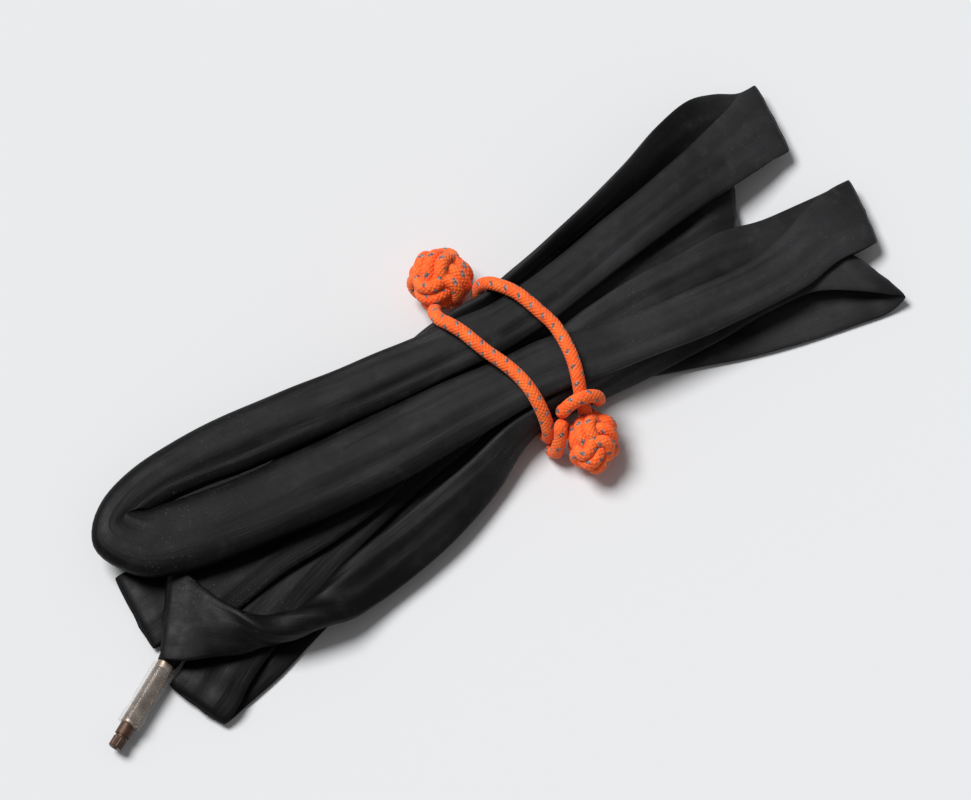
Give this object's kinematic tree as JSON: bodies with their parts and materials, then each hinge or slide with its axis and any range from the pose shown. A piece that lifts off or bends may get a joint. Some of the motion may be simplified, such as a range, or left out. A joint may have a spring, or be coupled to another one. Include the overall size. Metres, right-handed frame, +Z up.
{
  "type": "inner tube",
  "caption": "Bicycle inner tube folded flat into long runs, tied around the middle with a thick cord ending in ball knots, with a threaded air valve in a clear sleeve.",
  "frame": {"origin": "on the table, at the middle of the part's bounding box", "axes": "+X along the bundle from the valve end to the creased end, +Z up"},
  "size_m": [0.3085, 0.1091, 0.0249],
  "materials": {
    "tube_rubber": "satin, dusty",
    "tie_cord": "braided, reflective flecks",
    "stem_metal": "plated, threaded",
    "core_metal": "dark satin",
    "gasket_plastic": "matte",
    "seal_rubber": "matte",
    "sleeve_plastic": "clear, glossy"
  },
  "bodies": {
    "bundle": {"run_1": "tube_rubber", "fold_right_low": "tube_rubber", "run_2": "tube_rubber", "fold_left_front": "tube_rubber", "run_3": "tube_rubber", "fold_right_middle": "tube_rubber", "run_4": "tube_rubber", "loop_left_top": "tube_rubber", "run_5": "tube_rubber", "fold_right_top": "tube_rubber", "run_6": "tube_rubber", "fold_left_back": "tube_rubber", "run_7": "tube_rubber", "loop_right_inner": "tube_rubber", "run_8": "tube_rubber", "fold_left_valve": "tube_rubber", "tie_cord": "tie_cord", "hitch_wrap_upper": "tie_cord", "hitch_wrap_lower": "tie_cord", "upper_ball_knot": "tie_cord", "lower_ball_knot": "tie_cord", "valve_base": "tube_rubber", "valve_stem": "stem_metal", "valve_core": "core_metal", "core_gasket": "gasket_plastic"},
    "plunger": {"plunger_pin": "core_metal", "plunger_seal": "seal_rubber"},
    "lock_nut": {"lock_nut": "core_metal"},
    "valve_sleeve": {"valve_sleeve": "sleeve_plastic"}
  },
  "joints": [
    {"name": "plunger_press", "type": "slide", "parent": "bundle", "child": "plunger", "axis": [0.866, 0.5, 0], "range_m": [0, 0.0008]},
    {"name": "lock_nut_turn", "type": "hinge", "parent": "plunger", "child": "lock_nut", "pos_m": [-0.15163, -0.0433, 0.0046], "axis": [-0.866, -0.5, 0], "range_deg": [-1080, 360]},
    {"name": "sleeve_pull", "type": "slide", "parent": "bundle", "child": "valve_sleeve", "axis": [-0.866, -0.5, 0], "range_m": [0, 0.036]}
  ]
}
